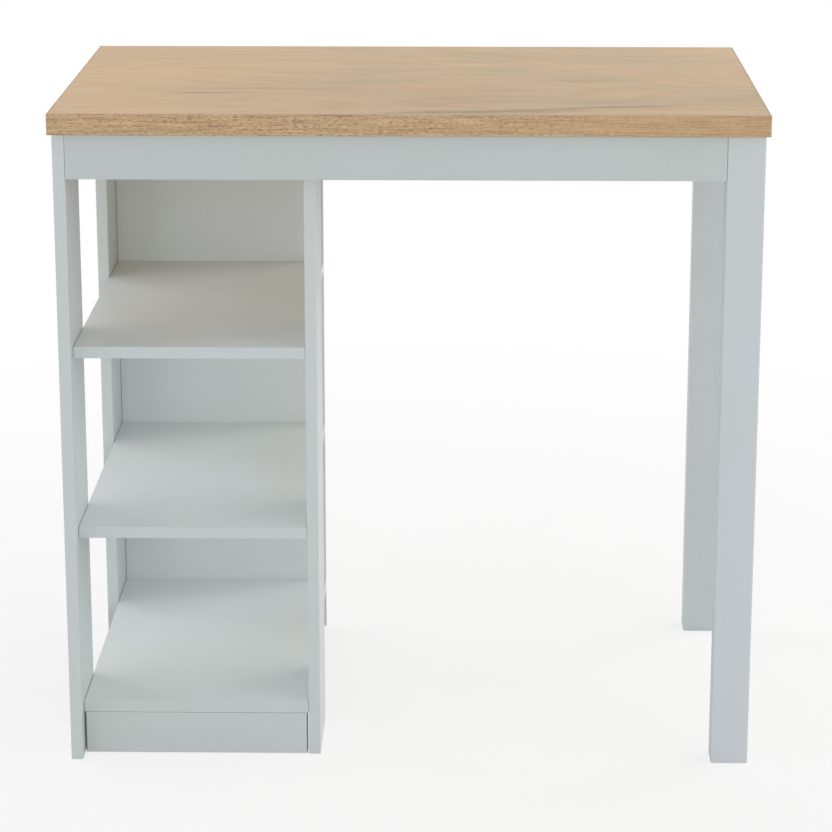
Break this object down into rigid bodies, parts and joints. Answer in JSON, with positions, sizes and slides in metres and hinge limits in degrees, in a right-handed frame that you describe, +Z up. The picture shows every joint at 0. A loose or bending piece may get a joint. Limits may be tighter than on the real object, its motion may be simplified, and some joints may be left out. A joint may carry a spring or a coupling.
{
  "type": "kitchen island",
  "caption": "Free-standing kitchen island: an oak-look worktop on a pale railed frame, with open shelves and a back panel at one end and a pair of legs and knee space at the other.",
  "frame": {"origin": "on the floor, under the middle of the worktop", "axes": "+X to the right along the worktop's length, +Y to the back, +Z up; the front faces -Y and the shelves are at -X"},
  "size_m": [0.94, 0.6, 0.9],
  "materials": {
    "oak_laminate": "satin oak-look laminate on chipboard",
    "oak_edge_strip": "textured oak-look edge strip",
    "white_melamine": "satin pale melamine on chipboard",
    "cast_zinc": "cast zinc",
    "plated_steel": "zinc plated",
    "beech": "plain beech"
  },
  "bodies": {
    "root": {"worktop": "oak_laminate", "worktop_edge_front": "oak_edge_strip", "worktop_edge_rear": "oak_edge_strip", "worktop_edge_left": "oak_edge_strip", "worktop_edge_right": "oak_edge_strip", "front_rail": "white_melamine", "rear_rail": "white_melamine", "left_rail": "white_melamine", "right_rail": "white_melamine", "front_left_post": "white_melamine", "rear_left_post": "white_melamine", "front_right_post": "white_melamine", "front_leg": "white_melamine", "rear_leg": "white_melamine", "bottom_shelf": "white_melamine", "middle_shelf": "white_melamine", "top_shelf": "white_melamine", "plinth": "white_melamine", "back_panel": "white_melamine", "bottom_shelf_left_cam": "cast_zinc", "bottom_shelf_right_cam": "cast_zinc", "middle_shelf_left_cam": "cast_zinc", "middle_shelf_right_cam": "cast_zinc", "top_shelf_left_cam": "cast_zinc", "top_shelf_right_cam": "cast_zinc", "bottom_shelf_left_bolt": "plated_steel", "bottom_shelf_right_bolt": "plated_steel", "middle_shelf_left_bolt": "plated_steel", "middle_shelf_right_bolt": "plated_steel", "top_shelf_left_bolt": "plated_steel", "top_shelf_right_bolt": "plated_steel", "bottom_shelf_dowel": "beech", "middle_shelf_dowel": "beech", "top_shelf_dowel": "beech", "bottom_shelf_screw": "plated_steel", "middle_shelf_screw": "plated_steel", "top_shelf_screw": "plated_steel", "plinth_left_dowel": "beech", "plinth_right_dowel": "beech", "panel_left_dowel": "beech", "panel_right_dowel": "beech", "front_right_post_dowel": "beech", "front_rail_left_dowel": "beech", "front_rail_right_dowel": "beech", "rear_rail_left_dowel": "beech", "rear_rail_right_dowel": "beech", "left_rail_front_dowel": "beech", "left_rail_rear_dowel": "beech", "right_rail_front_dowel": "beech", "right_rail_rear_dowel": "beech", "front_leg_bracket": "plated_steel", "rear_leg_bracket": "plated_steel", "front_leg_bolt": "plated_steel", "rear_leg_bolt": "plated_steel", "front_leg_nut": "plated_steel", "rear_leg_nut": "plated_steel", "worktop_front_left_screw": "plated_steel", "worktop_front_right_screw": "plated_steel", "worktop_rear_left_screw": "plated_steel", "worktop_rear_right_screw": "plated_steel"}
  },
  "joints": []
}
